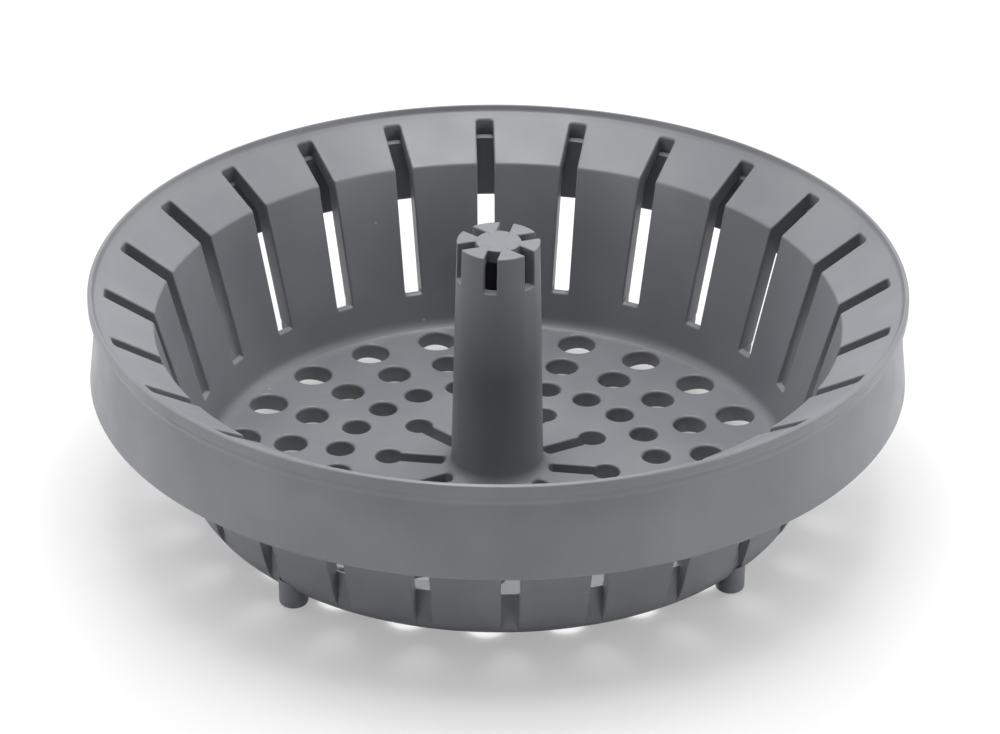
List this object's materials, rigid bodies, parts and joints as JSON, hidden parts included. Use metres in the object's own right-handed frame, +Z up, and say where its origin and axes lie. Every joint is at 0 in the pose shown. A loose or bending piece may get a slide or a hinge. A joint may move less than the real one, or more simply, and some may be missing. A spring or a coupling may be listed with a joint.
{
  "type": "sink strainer",
  "caption": "Soft round sink strainer basket with a skirted rim, slotted wall, sieve floor and hollow post; its floor pushes up through the rim to turn it inside out.",
  "frame": {"origin": "on the axis, at the level of the feet's undersides", "axes": "+Z up along the post, +X to the right and +Y away in the picture's view"},
  "size_m": [0.1144, 0.1144, 0.0391],
  "materials": {
    "silicone": "matte moulded grey silicone"
  },
  "bodies": {
    "rim": {"rim_lip": "silicone", "rim_skirt": "silicone", "petal_01": "silicone", "petal_02": "silicone", "petal_03": "silicone", "petal_04": "silicone", "petal_05": "silicone", "petal_06": "silicone", "petal_07": "silicone", "petal_08": "silicone", "petal_09": "silicone", "petal_10": "silicone", "petal_11": "silicone", "petal_12": "silicone", "petal_13": "silicone", "petal_14": "silicone", "petal_15": "silicone", "petal_16": "silicone", "petal_17": "silicone", "petal_18": "silicone", "petal_19": "silicone", "petal_20": "silicone", "petal_21": "silicone", "petal_22": "silicone", "petal_23": "silicone", "petal_24": "silicone", "wall_band": "silicone"},
    "basket_floor": {"sieve_floor": "silicone", "post_hub": "silicone", "post_tube": "silicone", "post_crown": "silicone", "foot_1": "silicone", "foot_2": "silicone", "foot_3": "silicone", "foot_4": "silicone"}
  },
  "joints": [
    {"name": "basket_flip", "type": "slide", "parent": "rim", "child": "basket_floor", "axis": [0, 0, 1], "range_m": [0, 0.056], "deforming": ["petal_01", "petal_02", "petal_03", "petal_04", "petal_05", "petal_06", "petal_07", "petal_08", "petal_09", "petal_10", "petal_11", "petal_12", "petal_13", "petal_14", "petal_15", "petal_16", "petal_17", "petal_18", "petal_19", "petal_20", "petal_21", "petal_22", "petal_23", "petal_24", "wall_band"]}
  ]
}
